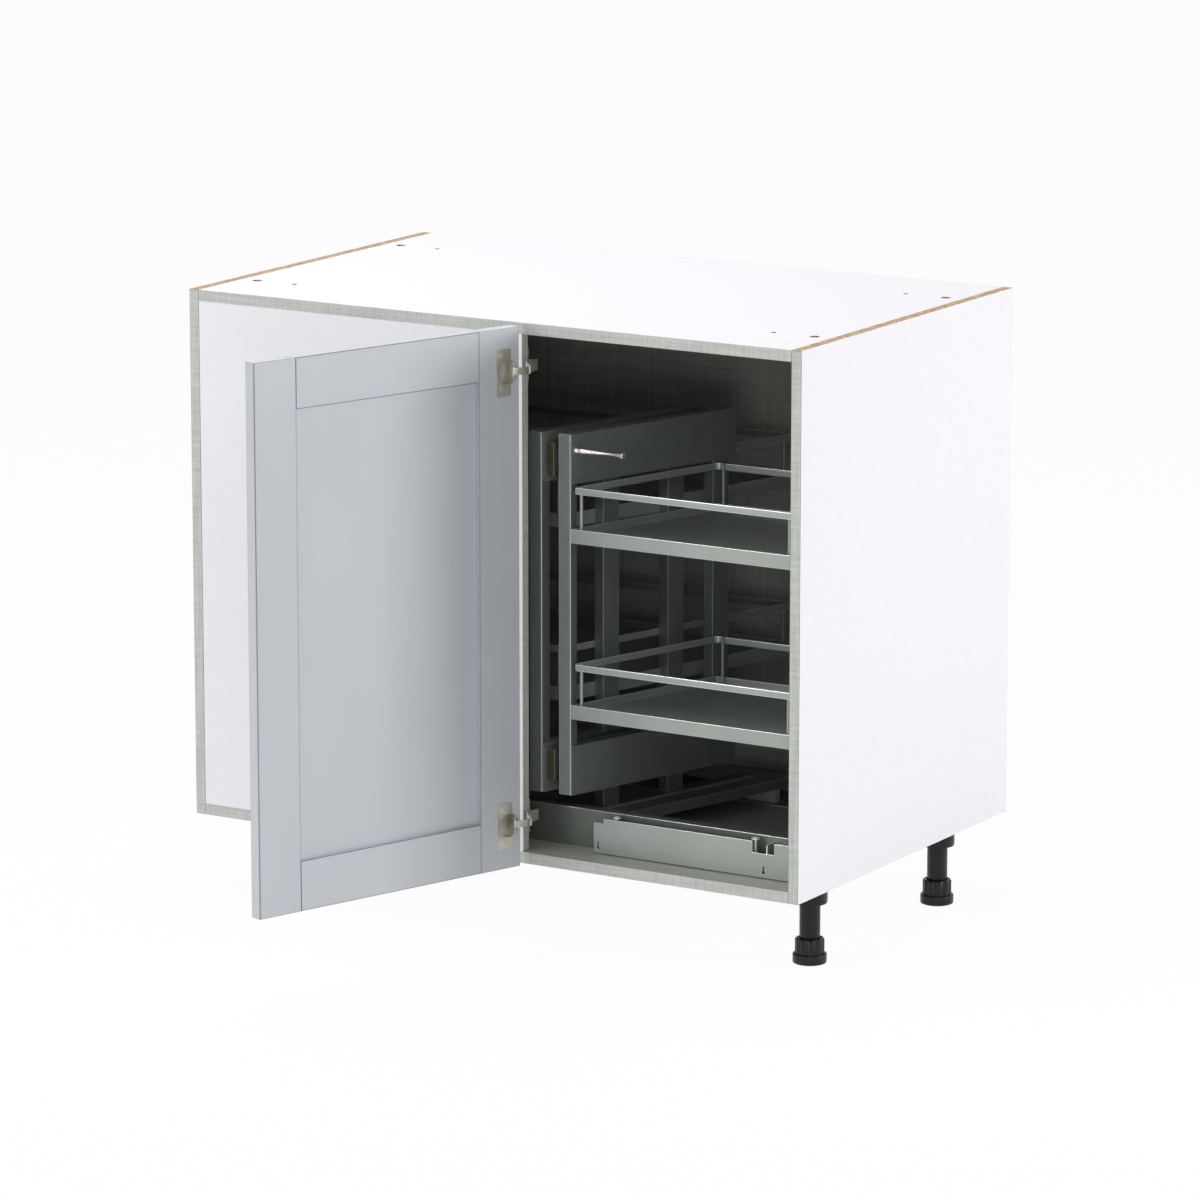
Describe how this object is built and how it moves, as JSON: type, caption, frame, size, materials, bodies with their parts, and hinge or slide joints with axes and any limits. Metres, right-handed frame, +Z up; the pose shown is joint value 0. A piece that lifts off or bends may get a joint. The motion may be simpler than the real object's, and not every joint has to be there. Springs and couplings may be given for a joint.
{
  "type": "blind corner base cabinet",
  "caption": "Blind corner base cabinet with an open framed door, and a two-part pull-out fitting with railed trays on slanting slides.",
  "frame": {"origin": "middle of the footprint box with the door open as in the picture, on the floor under the legs", "axes": "+X to the right seen from the front, +Y to the back, +Z up"},
  "size_m": [0.9906, 1.0618, 0.8763],
  "materials": {
    "white_panel": "white melamine-faced board, smooth satin, with grey linen-print inner faces and front edges",
    "grey_liner": "grey linen-print melamine",
    "door_paint": "light grey satin lacquer",
    "grey_steel": "satin grey powder coat",
    "zinc": "bright zinc-plated steel",
    "nickel": "nickel plate",
    "chrome": "polished chrome",
    "beech": "plain beech",
    "black_plastic": "satin black plastic",
    "nylon": "natural nylon",
    "buffer_plastic": "olive translucent plastic"
  },
  "bodies": {
    "carcass": {"left_side_panel": "white_panel", "right_side_panel": "white_panel", "top_panel": "white_panel", "bottom_panel": "white_panel", "back_panel": "grey_liner", "blind_panel": "white_panel", "cam_locks": "zinc", "cam_bolts": "zinc", "joint_dowels": "beech", "leg_sockets": "black_plastic", "hinge_bracket_lower": "nickel", "hinge_bracket_upper": "nickel", "hinge_arm_pins": "zinc", "hinge_bracket_screws": "zinc", "floor_channel": "grey_steel", "floor_rear_rail": "grey_steel", "floor_cover": "grey_steel", "floor_cover_studs": "zinc", "floor_screws": "zinc"},
    "hinge_links": {"hinge_link_lower": "nickel", "hinge_link_upper": "nickel"},
    "door": {"door_hinge_stile": "door_paint", "door_free_stile": "door_paint", "door_bottom_rail": "door_paint", "door_top_rail": "door_paint", "door_centre_panel": "door_paint", "hinge_cup_lower": "nickel", "hinge_cup_upper": "nickel", "hinge_cup_pins": "zinc", "hinge_cup_screws": "zinc"},
    "rear_unit": {"slide_outer_members": "zinc", "rear_frame_post": "grey_steel", "rear_upper_band": "grey_steel", "rear_lower_band": "grey_steel", "rear_carriage": "grey_steel", "rear_carriage_posts": "grey_steel", "rear_carriage_glides": "nylon", "rear_tray_lower": "grey_steel", "rear_tray_upper": "grey_steel", "rear_railing_lower": "grey_steel", "rear_railing_upper": "grey_steel", "rear_railing_pins": "grey_steel"},
    "slide_middles": {"slide_middle_members": "zinc"},
    "front_unit": {"slide_inner_members": "zinc", "slide_buffers": "buffer_plastic", "slide_brackets": "grey_steel", "front_frame_post": "grey_steel", "front_upper_band": "grey_steel", "front_lower_band": "grey_steel", "front_rear_upright": "grey_steel", "front_handle_rod": "chrome", "front_tray_lower": "grey_steel", "front_tray_upper": "grey_steel", "front_railing_lower": "grey_steel", "front_railing_upper": "grey_steel", "front_railing_pins": "grey_steel"},
    "foot_front_left": {"leg_foot_front_left": "black_plastic"},
    "foot_front_right": {"leg_foot_front_right": "black_plastic"},
    "foot_back_left": {"leg_foot_back_left": "black_plastic"},
    "foot_back_right": {"leg_foot_back_right": "black_plastic"}
  },
  "joints": [
    {"name": "hinge_link_turn", "type": "hinge", "parent": "carcass", "child": "hinge_links", "pos_m": [0.07609, -0.08959, 0.4969], "axis": [0, 0, 1], "range_deg": [-78.8, 0]},
    {"name": "door_hinge", "type": "hinge", "parent": "hinge_links", "child": "door", "pos_m": [0.06401, -0.11218, 0.4969], "axis": [0, 0, -1], "range_deg": [-187.7, 0]},
    {"name": "rear_shift", "type": "slide", "parent": "carcass", "child": "rear_unit", "axis": [1, 0, 0], "range_m": [0, 0.0878]},
    {"name": "slide_middle_run", "type": "slide", "parent": "rear_unit", "child": "slide_middles", "axis": [-0.2924, -0.9563, 0], "range_m": [0, 0.15]},
    {"name": "front_pull_out", "type": "slide", "parent": "rear_unit", "child": "front_unit", "axis": [-0.2924, -0.9563, 0], "range_m": [0, 0.3]},
    {"name": "foot_height_front_left", "type": "slide", "parent": "carcass", "child": "foot_front_left", "axis": [0, 0, -1], "range_m": [0, 0.02]},
    {"name": "foot_height_front_right", "type": "slide", "parent": "carcass", "child": "foot_front_right", "axis": [0, 0, -1], "range_m": [0, 0.02]},
    {"name": "foot_height_back_left", "type": "slide", "parent": "carcass", "child": "foot_back_left", "axis": [0, 0, -1], "range_m": [0, 0.02]},
    {"name": "foot_height_back_right", "type": "slide", "parent": "carcass", "child": "foot_back_right", "axis": [0, 0, -1], "range_m": [0, 0.02]}
  ],
  "couplings": [
    {"joint": "hinge_link_turn", "follows": "door_hinge", "ratio": 0.41982},
    {"joint": "rear_shift", "follows": "front_pull_out", "ratio": 0.29237},
    {"joint": "slide_middle_run", "follows": "front_pull_out", "ratio": 0.5}
  ]
}
